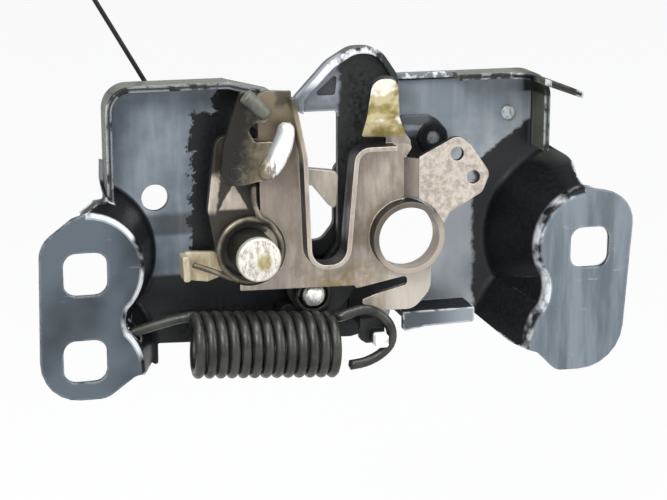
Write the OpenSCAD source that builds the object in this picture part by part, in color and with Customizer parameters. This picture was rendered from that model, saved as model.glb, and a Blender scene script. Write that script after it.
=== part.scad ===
// Bonnet latch: pressed tray with two bolt-on ears, striker slot, claw, safety hook and kicker.
// Millimetres. X right, Z up along the slot, Y rearward; the origin is the bottom of the slot axis
// on the front face of the tray's web. Flat shapes are drawn in the front view as [x, z, corner radius]
// and are thickened toward the viewer, so a height h is the same as y = -h.

/* [Tray] */
// thickness of the pressed sheet
sheet_t = 2; // [1.6:0.1:2.4]
// how far the ears stand in front of the web
ear_h = 22; // [20:0.5:24]
// depth of the rim along the top and the sides
rim_depth = 11; // [8:0.5:13]
// radius of the flat lobe round each ear bolt
lobe_r = 17.7; // [16.5:0.1:18.5]
// how far the left wall leans out between web and ear
left_run = 6.5; // [5:0.5:8]
// how far the right wall leans out between web and ear
right_run = 11.5; // [9:0.5:13]
// width of the square bolt holes
bolt_hole = 13.5; // [11:0.5:14.5]
// diameter of the locating hole in the web
locate_d = 8.6; // [6:0.1:9]

/* [Guide plate] */
// thickness of the zinc plated guide plate
guide_t = 2; // [1.6:0.1:2.4]
// diameter of the large hole in the guide plate
window_d = 20; // [16:0.5:21]
// how far the flange of the slot stands in front of the plate
flange_h = 6; // [4:0.5:7]
// diameter of the two switch holes
switch_d = 4.4; // [3:0.1:5]

/* [Levers] */
// thickness of the claw
claw_t = 3; // [2.4:0.1:3.2]
// thickness of the safety hook
hook_t = 2.6; // [2:0.1:2.8]
// radius of the claw's pivot
claw_pin_r = 5; // [4:0.1:6]
// radius of the pivots of hook and kicker
small_pin_r = 4; // [3:0.1:4.2]

/* [Springs] */
// wire of the large spring
main_wire = 3.3; // [2.5:0.1:3.5]
// outer diameter of the large spring
main_od = 21.4; // [18:0.2:22]
// turns of the large spring
main_turns = 13; // [9:1:14]
// wire of the claw's spring
claw_wire = 1.8; // [1.4:0.1:2.4]
// outer diameter of the claw's spring
claw_spring_od = 21.8; // [20:0.2:22.2]

/* [Hidden] */
$fn = 64;
arc_steps = 6;
fit = 0.05;
web_back = -sheet_t;
ear_back = ear_h - sheet_t;
guide_h = 12;
guide_top = guide_h + guide_t;
kicker_h = 0.6;
kicker_t = 2.5;
hook_h = 5;
claw_h = 8.2;
lever_h = guide_top + 1.2;
lever_t = 2.2;
pin_head_h = guide_top + 10;
left_upper = [-76.5, 1.8];
left_lower = [-77.3, -25.7];
right_upper = [87.7, 0];
left_lobe_a = [-76.3, 2.6];
left_lobe_b = [-76.9, -30];
right_lobe_a = [88.1, 1];
right_lobe_b = [85.1, -32];
claw_pivot = [-23.5, 4];
claw_edge_low = [-20.5, 20];
claw_edge_top = [-24.8, 40.4];
stop_gap = 0.2;
hook_pivot = [-2.3, -12.8];
kicker_pivot = [39.2, 35.4];
window_at = [27.1, 6];
main_left = [-43.3, -23.9];
main_right = [3.6, -27.3];
main_h = 18.5;
wall_hole = [-59.5, -18.6];
nipple_at = [-22.4, 50.8];

// Small helpers

function unit(v) = v / norm(v);
function flat(p) = [p[0], p[1]];
function corner(a, b, c, r) =
    let(u = unit(a - b), v = unit(c - b), half = acos(u * v) / 2)
    let(mid = b + unit(u + v) * r / sin(half), p = b + u * r / tan(half) - mid)
    let(q = b + v * r / tan(half) - mid, from = atan2(p[1], p[0]), turn = atan2(q[1], q[0]) - from)
    let(sweep = turn > 180 ? turn - 360 : turn < -180 ? turn + 360 : turn)
    [for (k = [0:arc_steps]) let(a = from + sweep * k / arc_steps) mid + r * [cos(a), sin(a)]];
function rounded(pts) = [for (i = [0:len(pts) - 1])
    let(n = len(pts), b = pts[i], a = pts[(i + n - 1) % n], c = pts[(i + 1) % n])
    each (b[2] == undef || b[2] == 0) ? [flat(b)] : corner(flat(a), flat(b), flat(c), b[2])];

// stands a front view drawing upright, facing the viewer
module front() {
    rotate([90, 0, 0]) children();
}

module slab(outline, low, high) {
    translate([0, 0, low]) linear_extrude(high - low) polygon(rounded(outline));
}

module rod(at, r, low, high) {
    translate([at[0], at[1], low]) cylinder(r = r, h = high - low);
}

module square_hole(at, size) {
    s = size / 2;
    slab([for (k = [[-s, -s], [s, -s], [s, s], [-s, s]]) [at[0] + k[0], at[1] + k[1], 4]], -9, 40);
}

// Sweeps a round wire along a list of points; each ring is set square to the path
function path_dir(p, i) = unit(p[min(i + 1, len(p) - 1)] - p[max(i - 1, 0)]);
function side_of(d) = unit(cross(d, abs(d[2]) < 0.9 ? [0, 0, 1] : [1, 0, 0]));

module wire(path, r, sides = 8) {
    n = len(path);
    rings = [for (i = [0:n - 1])
        let(d = path_dir(path, i), s = side_of(d), t = cross(d, s))
        for (k = [0:sides - 1]) path[i] + r * (cos(360 * k / sides) * s + sin(360 * k / sides) * t)];
    skin = [for (i = [0:n - 2]) for (k = [0:sides - 1])
        let(m = (k + 1) % sides)
        each [[i * sides + k, i * sides + m, (i + 1) * sides + m],
            [i * sides + k, (i + 1) * sides + m, (i + 1) * sides + k]]];
    start = [for (k = [0:sides - 1]) sides - 1 - k];
    end = [for (k = [0:sides - 1]) (n - 1) * sides + k];
    polyhedron(rings, concat([start, end], skin), convexity = 10);
}

// Tray

// wall of an ear: a dished lobe turned round its bolt, foot on the web and flat top at the ear
module lobe_front(at, run) {
    foot = lobe_r + run;
    translate(at) rotate_extrude() polygon(rounded([
        [0, web_back], [foot + 7, web_back], [foot + 7, 0], [foot, 0, 3], [lobe_r, ear_h, 2.6],
        [0, ear_h]]));
}

module lobe_back(at, run) {
    foot = lobe_r + run;
    slant = norm([run, ear_h]);
    back_foot = foot - sheet_t * (slant - run) / ear_h;
    back_top = back_foot - run;
    translate(at) rotate_extrude() polygon(rounded([
        [0, -9], [back_foot + 9, -9], [back_foot + 9, web_back], [back_foot, web_back, 4],
        [back_top, ear_back, 0.8], [0, ear_back]]));
}

// hollow between two lobes: its axis lies on the web's side, and its slope runs into both of them
function valley_axis(a, b, reach, side) =
    let(d = unit(b - a), half = norm(b - a) / 2)
    (a + b) / 2 + side * sqrt(reach * reach - half * half) * [-d[1], d[0]];

// the sector between the lobes that the hollow fills, seen from its axis
function valley_sector(a, b, at) =
    let(near_a = unit(a - at), near_b = unit(b - at))
    [at + near_a, a + near_a, b + near_b, at + near_b];

module valley_front(a, b, run, side) {
    reach = lobe_r + run + 2.5;
    at = valley_axis(a, b, reach, side);
    top = run + 2.9;
    intersection() {
        translate(at) rotate_extrude() polygon(rounded([
            [0, web_back], [reach + 3, web_back], [reach + 3, ear_h], [top, ear_h, 2.6], [2.9, 0, 3],
            [0, 0]]));
        slab(valley_sector(a, b, at), -9, 40);
    }
}

module valley_back(a, b, run, side) {
    reach = lobe_r + run + 2.5;
    at = valley_axis(a, b, reach, side);
    foot = 2.9 + sheet_t * (norm([run, ear_h]) - run) / ear_h;
    intersection() {
        translate(at) rotate_extrude() polygon(rounded([
            [0, -9], [reach + 3, -9], [reach + 3, ear_back], [foot + run, ear_back, 0.8],
            [foot, web_back, 4], [0, web_back]]));
        slab(valley_sector(a, b, at), -9, 40);
    }
}

tray_outline = [
    [-67.5, 57, 8], [77, 56.5, 8], [77, 33.5, 2], [80.4, 30.6, 1], [86.6, 26.6, 2.5], [85.4, 22.4, 2],
    [86, 19.8, 0.4],
    [103, 16.6, 11], [99.3, -41.4, 15], [77, -41, 5], [70.5, -34.4, 4], [63.5, -32.4, 4],
    [51.8, -22.2, 0.5],
    [51.8, -20.3], [27.4, -20.3], [25, -28, 3], [13, -30.8, 3], [-51.2, -28.2, 0.5], [-51.2, -36, 0.8],
    [-54, -33.6, 2],
    [-61, -30.8, 4], [-71, -38, 7], [-91.4, -38, 12], [-90.2, 11.5, 9], [-80, 19.2, 6],
    [-71.6, 21.8, 0.5],
    [-67.8, 21.5, 1], [-68.4, 27, 2]];
web_outline = [
    [-63.5, 52.5, 4], [73, 52.5, 1], [73, 28, 3], [78, 10, 3], [78, -20, 3], [62, -30, 2],
    [51.8, -20.3], [27.4, -20.3],
    [25, -28, 3], [13, -30.8, 3], [-66, -27.9, 3], [-66, 15, 3], [-63.5, 20, 3]];
mouth_outline = [
    [-15, 70], [-15, 46, 6], [-8.5, 38, 6], [-8.5, -2, 8.4], [8.5, -2, 8.4], [8.5, 40, 5], [23, 44, 5],
    [23, 70]];

// cross section of the rim, from its outer face inward
rim_section = [
    [0, rim_depth, 0.5], [sheet_t, rim_depth, 0.5], [sheet_t, 0, 1.5], [7, 0], [7, web_back],
    [0, web_back, 3]];
low_section = [
    [0, 3, 0.5], [sheet_t, 3, 0.5], [sheet_t, 0, 1.5], [7, 0], [7, web_back], [0, web_back, 3]];

// straight run of rim: starts at a point, goes on along an angle, the web lies to its right
module rim_run(at, angle, length, section) {
    translate(at) rotate(angle) rotate([90, 0, 90]) linear_extrude(length)
        polygon([for (p = rounded(section)) [-p[0], p[1]]]);
}

module rim_corner(at, r, from) {
    translate(at) rotate(from) rotate_extrude(angle = 90)
        polygon([for (p = rounded(rim_section)) [r - p[0], p[1]]]);
}

module tray_rims() {
    rim_run([-67.5, 20], 90, 29.1, rim_section);
    rim_corner([-59.5, 49], 8, 90);
    rim_run([-59.6, 57], 0, 30.6, rim_section);
    rim_run([-29.3, 57], -14, 14.2, rim_section);
    rim_run([23, 56.5], 0, 24, low_section);
    rim_run([46, 56.5], 0, 23.1, rim_section);
    rim_corner([69, 48.5], 8, 0);
    rim_run([77, 48.6], -90, 18.1, rim_section);
    beak();
    bottom_flange();
}

// tongue of the top wall that stands out beyond the rim and dips to the right
module beak() {
    intersection() {
        slab([[60, 54.5], [60, 56.5], [69, 56.5, 14], [84.4, 50.8, 0.6], [83.6, 49, 0.6],
            [68.4, 54.5, 14]], 0, 30);
        rotate([-90, 0, 0]) linear_extrude(70) polygon(rounded([
            [63, -4], [63, -12, 3], [70.5, -15, 4], [71.5, -21.5, 2.5], [85, -21.5, 2], [84.6, -10, 4],
            [77, -4]]));
    }
}

// shelf along the lower right edge, with a lip that turns down
module bottom_flange() {
    slab([[27.4, -20.3], [51.8, -20.3], [51.8, -22.3], [27.4, -22.3]], web_back, 12);
    slab([[27.4, -20.3, 0.6], [51.8, -20.3, 0.6], [51.8, -25.2, 0.8], [35, -25.6, 8],
        [27.4, -26.8, 1]], 10, 12);
}

module base_plate() color("#30353a") front() {
    difference() {
        union() {
            intersection() {
                union() {
                    slab(web_outline, web_back, 0);
                    lobe_front(left_lobe_a, left_run);
                    lobe_front(left_lobe_b, left_run);
                    lobe_front(right_lobe_a, right_run);
                    lobe_front(right_lobe_b, right_run);
                    valley_front(left_lobe_a, left_lobe_b, left_run, 1);
                    valley_front(right_lobe_a, right_lobe_b, right_run, -1);
                    slab([[-95, -45], [-76, -45], [-76, 25], [-95, 25]], ear_back, ear_h);
                    slab([[86, -45], [110, -45], [110, 19.5], [86, 19.5]], ear_back, ear_h);
                }
                slab(tray_outline, web_back, ear_h);
            }
            tray_rims();
        }
        lobe_back(left_lobe_a, left_run);
        lobe_back(left_lobe_b, left_run);
        lobe_back(right_lobe_a, right_run);
        lobe_back(right_lobe_b, right_run);
        valley_back(left_lobe_a, left_lobe_b, left_run, 1);
        valley_back(right_lobe_a, right_lobe_b, right_run, -1);
        slab([[-100, -50], [-77, -50], [-77, 30], [-100, 30]], -9, ear_back);
        slab([[87, -50], [115, -50], [115, 19.2], [87, 19.2]], -9, ear_back);
        square_hole(left_upper, bolt_hole);
        square_hole(left_lower, bolt_hole);
        square_hole(right_upper, bolt_hole);
        slab(mouth_outline, -9, 3.2);
        rod([31, 2.5], window_d / 2 + 2.5, -9, 1);
        rod([-51.1, 19.6], locate_d / 2, -9, 1);
        rod(claw_pivot, claw_pin_r, -9, 1);
        rod(hook_pivot, small_pin_r, -9, 1);
        rod(kicker_pivot, small_pin_r, -9, 1);
        translate([wall_hole[0] - 6, wall_hole[1],
            main_h - 2.5]) rotate([0, 90, 0]) cylinder(d = 7, h = 12);
    }
}

// Guide plate

// edge of the striker slot; a larger step moves it into the metal
function slot_edge(step) = [
    [-10.2 - step, 62], [-10.2 - step, 52, 6], [-6.4 - step, 34, 16],
    [-4.9 - step, -0.8 - step, 5.2 + step],
    [5.9 + step, -0.8 - step, 5.2 + step], [9 + step, 36.2 - step, 5 - step], [24, 36.2 - step],
    [24, 62]];
guide_outline = [
    [-21, 54.6, 3], [-11.5, 54, 4], [20, 54], [20, 36.2], [29.8, 35.2, 1], [27, 31, 1], [27, 17.5, 1],
    [33, 15.4, 3],
    [38.6, 9, 3], [38.4, 2, 4], [36, -3, 3], [36, -12.5, 6], [30.4, -18.8, 6], [17, -18.4, 3],
    [13, -15.6, 0.8],
    [13.2, -14.4, 0.5], [17.5, -12.9, 3], [28, -10.4, 1.2], [27.9, -7.4, 1.2], [11, -10.6, 0.8],
    [10.4, -9.6, 0.4],
    [-27, -8.8, 0.6], [-27, -5], [-23.5, 4], [-20.3, 17, 2], [-20.6, 36, 2]];
switch_tab = [
    [30.4, 32, 0.6], [43.2, 38.4, 3.5], [47.6, 35, 2], [54.2, 25.6, 3.5], [51.6, 19.6, 2.5],
    [40.6, 13.4, 2],
    [38.8, 9.4, 0.6], [35.4, 15.4, 6], [30.4, 18.4, 0.6]];
tongue_outline = [
    [20.4, -1], [29, -1], [28.6, 1, 1], [26.4, 4, 2], [24, 9.6, 5], [21.6, 24, 3.8], [13.6, 24, 3.8],
    [13.2, 10, 6],
    [12.2, 3.2, 0.8], [20.4, 2.8, 0.8]];
switch_a = [43, 32.4];
switch_b = [48.6, 24.6];

// sloping web between the plate and the raised switch tab
module joggle(p, q, shift, low, high) {
    s = [for (e = [p, q]) for (k = [[0, low], [0, low + guide_t], [1, high + guide_t], [1, high]])
        [e[0] + k[0] * shift[0], e[1] + k[0] * shift[1], k[1]]];
    polyhedron(s, [[3, 2, 1, 0], [4, 5, 6, 7], [1, 5, 4, 0], [2, 6, 5, 1], [3, 7, 6, 2], [0, 4, 7, 3]]);
}

// face of the claw's stop: the claw's right edge at height z, less a small gap
function claw_stop_x(z) =
    let(along = (z - claw_edge_low[1]) / (claw_edge_top[1] - claw_edge_low[1]))
    claw_edge_low[0] + along * (claw_edge_top[0] - claw_edge_low[0]) + stop_gap;

module guide_plate() color("#b5aba0") front() {
    tab_h = guide_h + 4;
    difference() {
        union() {
            difference() {
                slab(guide_outline, guide_h, guide_top);
                slab(slot_edge(0), guide_h - 1, guide_top + 1);
                rod(claw_pivot, claw_spring_od / 2 + 0.4, guide_h - 1, guide_top + 1);
            }
            difference() {
                slab(slot_edge(1.4), guide_h, guide_top + flange_h);
                slab(slot_edge(0), guide_h - 1, guide_top + flange_h + 1);
                slab([[-30, 52.5], [30, 52.5], [30, 70], [-30, 70]],
                    guide_h - 1, guide_top + flange_h + 1);
                slab([[22.5, 20], [30, 20], [30, 70], [22.5, 70]], guide_h - 1, guide_top + flange_h + 1);
            }
            rod(window_at, window_d / 2 + 1.8, guide_h, guide_top + flange_h - 1);
            slab(switch_tab, tab_h, tab_h + guide_t);
            joggle([26.6, 31.4], [26.6, 18.6], [4.1, 0], guide_h, tab_h);
            translate([0, 36.2, guide_h + guide_t / 2]) rotate([22, 0, 0]) translate([0, 0, -guide_t / 2])
                linear_extrude(guide_t) polygon(rounded(tongue_outline));
            slab([[-21, 42], [-19, 42], [-19, 52], [-21, 52]], 0, guide_h + 1);
            slab([[25, 17.4], [27, 17.4], [27, 21], [25, 21]], 0, guide_h + 1);
            slab([[-18.4, -6.8], [-18.4, -8.8], [-12, -8.8], [-12, -6.8]], 0, guide_h + 1);
            slab([[claw_stop_x(37), 37], [-20.2, 37], [-20.2, 39.6], [claw_stop_x(39.6), 39.6]],
                claw_h - 0.1, guide_h + 1);
        }
        rod(window_at, window_d / 2, guide_h - 1, 40);
        rod(switch_a, switch_d / 2, guide_h - 1, 40);
        rod(switch_b, switch_d / 2, guide_h - 1, 40);
    }
}

// Pivots and small fixed pieces

module claw_pin() color("#c9c6c0") front() {
    rod(claw_pivot, claw_pin_r, web_back, pin_head_h + 0.5);
    rod(claw_pivot, claw_pin_r + 3, web_back - 2, web_back);
    translate([claw_pivot[0], claw_pivot[1], pin_head_h]) rotate_extrude() polygon(rounded([
        [0, 0], [7, 0, 0.6], [7, 3, 1], [0, 3.6]]));
}

module claw_spacer() color("#8b8d8c") front() difference() {
    rod(claw_pivot, claw_pin_r + 3.5, 0, claw_h - 0.3);
    rod(claw_pivot, claw_pin_r, -1, claw_h);
}

module spring_sleeve() color("#2a2a28") front() difference() {
    rod(claw_pivot, 7, claw_h + claw_t + 0.3, pin_head_h);
    rod(claw_pivot, claw_pin_r, claw_h, pin_head_h + 1);
}

module hook_rivet() color("#dedcd6") front() {
    rod(hook_pivot, small_pin_r, web_back, 11);
    rod(hook_pivot, small_pin_r + 2.5, web_back - 1.8, web_back);
    translate([hook_pivot[0], hook_pivot[1], 10.9]) rotate_extrude() polygon(rounded([
        [0, 0], [3.3, 0, 0.2], [3.2, 1.4, 1], [1.8, 2.5, 1.2], [0, 2.8]]));
}

module hook_spacer() color("#77797a") front() difference() {
    rod(hook_pivot, small_pin_r + 1.5, 0, hook_h - 0.3);
    rod(hook_pivot, small_pin_r, -1, hook_h);
}

module kicker_pin() color("#c4c2bd") front() {
    rod(kicker_pivot, small_pin_r, web_back, 3.8);
    rod(kicker_pivot, small_pin_r + 2.5, web_back - 1.8, web_back);
    rod(kicker_pivot, small_pin_r + 1, kicker_h + kicker_t + 0.3, 4.6);
}

module hook_stop() color("#2b2e30") front() {
    rod([-9.9, -18.6], 2.5, 0, hook_h + hook_t);
}

module kicker_stop() color("#2b2e30") front() {
    rod([8.6, -18.6], 2.7, 0, kicker_h + kicker_t);
}

module spring_anchor() color("#c2b59c") front() {
    slab([[-43.6, 3, 1.5], [-33, 2.4, 1.5], [-30.8, -5.2, 1.5], [-36, -7, 1.5], [-42.6, -6, 2]],
        4.5, 6.7);
    slab([[-44.6, 2.4, 0.6], [-42.6, 2.4, 0.6], [-42.2, -5.6, 0.6], [-44.2, -5.6, 0.6]], 4.5, 11);
}

module anchor_rivet() color("#8b8d8c") front() {
    rod([-38.6, -1.4], 3.2, 0, 4.5);
}

module web_rivet() color("#9a9da0") front() {
    rod([66.1, 41.8], 2.3, 0, 1.1);
}

// Cable that runs up behind the tray

module cable_stop() color("#26282a") front() {
    translate([-48, 48, web_back]) rotate([180, 0, 0]) difference() {
        slab([[-5, -5, 2], [5, -5, 2], [5, 5, 2], [-5, 5, 2]], 0, 6.5);
        translate([0, 0, 3.2]) rotate([90, 0, -30]) cylinder(r = 0.8, h = 20, center = true, $fn = 24);
    }
}

module release_cable() color("#141414") front() {
    translate([-48, 48, web_back - 3.2]) rotate([-90, 0, 30]) cylinder(r = 0.75, h = 45, $fn = 24);
}

module cable_eye() color("#3a3a38") front() {
    translate([-70.5, 86.97, web_back - 3.2]) rotate([-90, 0, 30]) translate([0, 0, 2.6])
        rotate([90, 0, 0]) rotate_extrude() translate([2.6, 0]) circle(r = 0.75, $fn = 20);
}

// Levers

claw_outline = [
    [-33.5, 1, 8], [-36.4, 17, 5], [-33.6, claw_edge_top[1], 4], [claw_edge_top[0], claw_edge_top[1], 1],
    [claw_edge_low[0], claw_edge_low[1], 4], [-9, 29.4, 6], [5.8, 27.4, 2.2],
    [5, 13.8, 1.2], [-3.4, 24.2, 2], [-13, 16, 8], [-14.4, -2, 6], [-24, -5.6, 8]];
lever_outline = [
    [-31.6, 25.9, 2], [-33.2, 29, 2], [-32.4, 38.4, 8], [-29, 49, 8], [-26.9, 55, 1.5],
    [-23.6, 54.4, 1.5],
    [-17.6, 48.6, 1.5], [-18.6, 45.4, 1.5], [-22.3, 45.2, 1], [-24.7, 43.1, 1.5], [-22.6, 39.2, 1],
    [-16, 39, 1],
    [-14.4, 43.5, 1], [-10.6, 43.7, 1], [-10.2, 41.4, 1], [-13.9, 30.7, 3], [-19.1, 27.2, 3],
    [-26, 25.8, 3]];
lever_low = [-28.6, 29.6];
lever_high = [-28.4, 34.4];

module claw() color("#b8ada1") front() difference() {
    slab(claw_outline, claw_h, claw_h + claw_t);
    rod(claw_pivot, claw_pin_r + fit, 0, 20);
    rod(lever_low, 2, 0, 20);
    rod(lever_high, 2, 0, 20);
}

module release_lever() color("#8f8470") front() difference() {
    union() {
        slab(lever_outline, lever_h, lever_h + lever_t);
        slab([[-32.4, 27.2, 2], [-32, 36.2, 2], [-25, 36.2, 2], [-24.6, 27.2, 2]],
            claw_h + claw_t, lever_h + 0.5);
        lever_roll();
    }
    rod(lever_low, 2, 0, 30);
    rod(lever_high, 2, 0, 30);
}

// rolled right edge of the release lever
module lever_roll() {
    from = [-18.4, 28.8];
    to = [-12.3, 43];
    angle = atan2(to[1] - from[1], to[0] - from[0]);
    translate([from[0], from[1], lever_h + lever_t]) rotate(angle) rotate([0, 90, 0])
        linear_extrude(norm(to - from)) polygon(rounded([
            [0.4, 2.6, 0.2], [-1.4, 2.4, 1], [-2.6, 0.4, 1.8], [-1.6, -1.4, 1.2], [0.4, -1.7, 0.3]]));
}

// rivet shank, dressed flush with the lever
module lever_rivet(at) color("#a29c92") front() {
    rod(at, 2, claw_h, lever_h + lever_t);
}

module lever_rivet_low() lever_rivet(lever_low);
module lever_rivet_high() lever_rivet(lever_high);

module cable_nipple() color("#6d7168") front() {
    translate([nipple_at[0], nipple_at[1], lever_h + lever_t + 2.36]) rotate(-43) rotate([0, 90, 0])
        rotate_extrude() polygon(rounded([[0, -5], [2.35, -5, 0.5], [2.35, 5, 1.7], [0, 5]]));
}

hook_outline = [
    [-10.8, -12, 6], [-9, -4.6, 4], [1.5, -3.4, 6], [6.6, 3, 6], [6.6, 46.2, 1.5], [-6.6, 46.2, 1],
    [-7.5, 50.8, 1],
    [3, 62, 10], [10.5, 66.4, 8], [19, 66.4, 8], [25.4, 57, 6], [25, 42, 4], [19, 37, 6],
    [16.8, 26, 8], [16.8, 0, 10],
    [10, -17, 8], [-4, -22.6, 7]];
hook_inside = [
    [-20, -60], [-20, 44], [-5.4, 44], [-5.3, 50.2, 0.8], [4.2, 60.2, 9], [11.2, 64.4, 7],
    [18.2, 64.4, 7], [23.4, 56.4, 5],
    [23.4, 50], [40, 50], [40, -60]];

module safety_hook() color("#1f2223") front() difference() {
    union() {
        slab(hook_outline, hook_h, hook_h + hook_t);
        difference() {
            slab(hook_outline, hook_h, hook_h + hook_t + 3.2);
            slab(hook_inside, 0, 20);
        }
    }
    rod(hook_pivot, small_pin_r + fit, 0, 20);
    slab([[-1.6, 51.2, 0.8], [5.6, 51.2, 0.8], [6.4, 58.4, 0.8]], hook_h + hook_t - 0.7, 20);
}

kicker_outline = [
    [40, 42.4, 6.4], [46.2, 35.4, 6.4], [39, 28.4, 6.4], [20, 29.4, 6], [17.4, 20, 6], [17.4, -6, 6],
    [19.8, -14, 4],
    [19.8, -22.6, 0.6], [11.6, -22.6, 0.6], [11.6, -12, 6], [8, -1.8, 4], [-5.4, -1.8, 2],
    [-5.8, 3.2, 1.6],
    [2.4, 3.4, 4], [6.4, 8.4, 4], [6.4, 27, 4], [18, 37, 6], [30, 42.6, 6]];

module kicker() color("#202324") front() difference() {
    union() {
        slab(kicker_outline, kicker_h, kicker_h + kicker_t);
        slab([[11.6, -22.6], [19.8, -22.6], [19.8, -20.2], [11.6, -20.2]], kicker_h, 16.4);
        slab([[11.6, -20.2], [19.8, -20.2], [19.8, -27, 1], [18.8, -28.4, 0.8], [13.6, -28.4, 0.8],
            [11.6, -27, 1]], 14, 16.4);
        slab([[14.6, -27.8, 0.8], [18.8, -27.8, 0.8], [18.8, -23.6, 0.8], [14.6, -23.6, 0.8]], 16, 24.5);
    }
    rod(kicker_pivot, small_pin_r + fit, -2, 20);
}

// Springs

main_r = (main_od - main_wire) / 2;
main_dir = unit(main_right - main_left);
main_len = norm(main_right - main_left);
function main_point(along, angle, r) =
    [main_left[0], main_left[1], main_h] + along * [main_dir[0], main_dir[1], 0]
    + r * (cos(angle) * [-main_dir[1], main_dir[0], 0] + sin(angle) * [0, 0, 1]);

module main_spring() color("#4c4d46") front() {
    steps = main_turns * 18;
    tail_h = main_h - 2.5;
    left_tail = [
        [wall_hole[0] - 4, wall_hole[1] - 3.4, tail_h], [wall_hole[0] - 3, wall_hole[1] - 1, tail_h],
        [wall_hole[0], wall_hole[1], tail_h], [wall_hole[0] + 5.5, wall_hole[1] + 1.4, tail_h + 0.2],
        [wall_hole[0] + 11, wall_hole[1] + 2.8, tail_h + 0.8],
        [main_left[0] - 2, main_left[1] + main_r - 0.2, main_h - 0.6]];
    coil = [for (k = [0:steps]) main_point(main_len * k / steps, 360 * main_turns * k / steps, main_r)];
    right_hook = [
        [main_right[0] + 3.9, main_right[1] + main_r + 0.9, main_h + 0.2], [11.5, -16.4, 19],
        [15.5, -17.2, 19.3],
        [19.3, -20.2, 19.5], [21.2, -24.2, 19.5], [20.7, -28.4, 19.5], [17.2, -31.8, 19.3],
        [12.5, -33.9, 19],
        [7.6, -34.6, 18.8]];
    wire(concat(left_tail, coil, right_hook), main_wire / 2);
}

claw_r = (claw_spring_od - claw_wire) / 2;

module claw_spring() color("#8a8778") front() {
    from = 256;
    sweep = 499;
    steps = 54;
    low = claw_h + claw_t + claw_wire / 2 + 0.2;
    rise = (claw_wire + 0.1) * sweep / 360;
    coil = [for (k = [0:steps])
        let(a = from + sweep * k / steps)
        [claw_pivot[0] + claw_r * cos(a), claw_pivot[1] + claw_r * sin(a), low + rise * k / steps]];
    tail = [[-41, -0.6, 9.4], [-37.5, -1.7, 10.6], [-34, -2.9, 12], [-30, -4.6, low]];
    leg = [coil[steps] + 4 * [-0.57, 0.82, 0], [-20.8, 15.2, guide_top + 1.6],
        [-22.3, 19.5, guide_top + 0.6], [-22.4, 25, guide_top]];
    wire(concat(tail, coil, leg), claw_wire / 2);
}

module hook_spring() color("#55564f") front() {
    turns = 2;
    steps = 40;
    r = small_pin_r + 1.2;
    low = hook_h + hook_t + 0.9;
    coil = [for (k = [0:steps])
        let(a = 180 + 360 * turns * k / steps)
        [hook_pivot[0] + r * cos(a), hook_pivot[1] + r * sin(a), low + 1.3 * turns * k / steps]];
    wire(coil, 0.6, 6);
}

base_plate();
guide_plate();
claw_pin();
claw_spacer();
spring_sleeve();
hook_rivet();
hook_spacer();
hook_stop();
kicker_pin();
kicker_stop();
spring_anchor();
anchor_rivet();
web_rivet();
cable_stop();
release_cable();
cable_eye();
claw();
release_lever();
lever_rivet_low();
lever_rivet_high();
cable_nipple();
safety_hook();
kicker();
main_spring();
claw_spring();
hook_spring();
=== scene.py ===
# %% [markdown]
# # A bonnet latch, dressed over its CAD frame
# The latch is a pressed black tray with two bolt-on ears. A zinc plated guide plate with a
# flanged slot takes the striker, a sprung claw closes the slot, a black hook hangs over it as
# the second catch, and a big spring pulls the kicker that lifts the striker out.
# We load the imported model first. Its solids already have the right shape, so most of the work
# here is light, finishes and smooth wire.

# %% Load the frame
import bmesh
import bpy
import math
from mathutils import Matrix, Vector


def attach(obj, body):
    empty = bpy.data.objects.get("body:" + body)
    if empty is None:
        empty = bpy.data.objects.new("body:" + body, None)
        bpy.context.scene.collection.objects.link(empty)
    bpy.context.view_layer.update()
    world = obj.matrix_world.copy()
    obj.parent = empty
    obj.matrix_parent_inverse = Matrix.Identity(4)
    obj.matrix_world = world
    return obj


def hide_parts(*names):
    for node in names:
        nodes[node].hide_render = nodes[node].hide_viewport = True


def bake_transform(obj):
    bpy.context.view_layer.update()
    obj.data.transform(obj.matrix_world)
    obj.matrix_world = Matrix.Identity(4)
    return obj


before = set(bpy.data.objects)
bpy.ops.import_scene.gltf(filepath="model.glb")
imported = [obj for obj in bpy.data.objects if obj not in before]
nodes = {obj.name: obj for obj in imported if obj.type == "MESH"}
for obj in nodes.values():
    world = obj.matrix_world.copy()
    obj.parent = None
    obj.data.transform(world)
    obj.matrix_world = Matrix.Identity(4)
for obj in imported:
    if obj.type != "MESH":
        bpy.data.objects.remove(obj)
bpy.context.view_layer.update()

# %% [markdown]
# ## Camera
# The photograph was taken from a little to the left and a little above, from about 0.6 m.
# We could drag a camera about until it fits, but it is surer to work it out: the eye sits on a
# ball round a point near the slot, and the focal length in pixels, over the picture's width in
# pixels, gives the lens for a sensor of 36 mm.

# %% Place the camera
def add_object(name, data):
    """Puts a mesh, curve, lamp or camera into the scene under a name."""
    thing = bpy.data.objects.new(name, data)
    bpy.context.scene.collection.objects.link(thing)
    return thing


AIM = Vector((0.0045, -0.010, 0.0015))
AZIMUTH, ELEVATION, REACH = math.radians(-15.0), math.radians(14.0), 0.600
SENSOR_MM, FOCAL_PIXELS, PHOTO_PIXELS = 36.0, 1875.0, 667.0
back = Vector((
    math.sin(AZIMUTH) * math.cos(ELEVATION),
    -math.cos(AZIMUTH) * math.cos(ELEVATION),
    math.sin(ELEVATION),
))
camera_data = bpy.data.cameras.new("photo_camera")
camera_data.sensor_width = SENSOR_MM
camera_data.lens = SENSOR_MM * FOCAL_PIXELS / PHOTO_PIXELS
camera_data.clip_start = 0.01
camera = add_object("photo_camera", camera_data)
camera.location = AIM + REACH * back
camera.rotation_euler = (-back).to_track_quat("-Z", "Y").to_euler()
bpy.context.scene.camera = camera
bpy.context.scene.view_settings.view_transform = "Standard"
print("camera at", [round(v, 3) for v in camera.location], "lens", round(camera_data.lens, 1))

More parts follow.
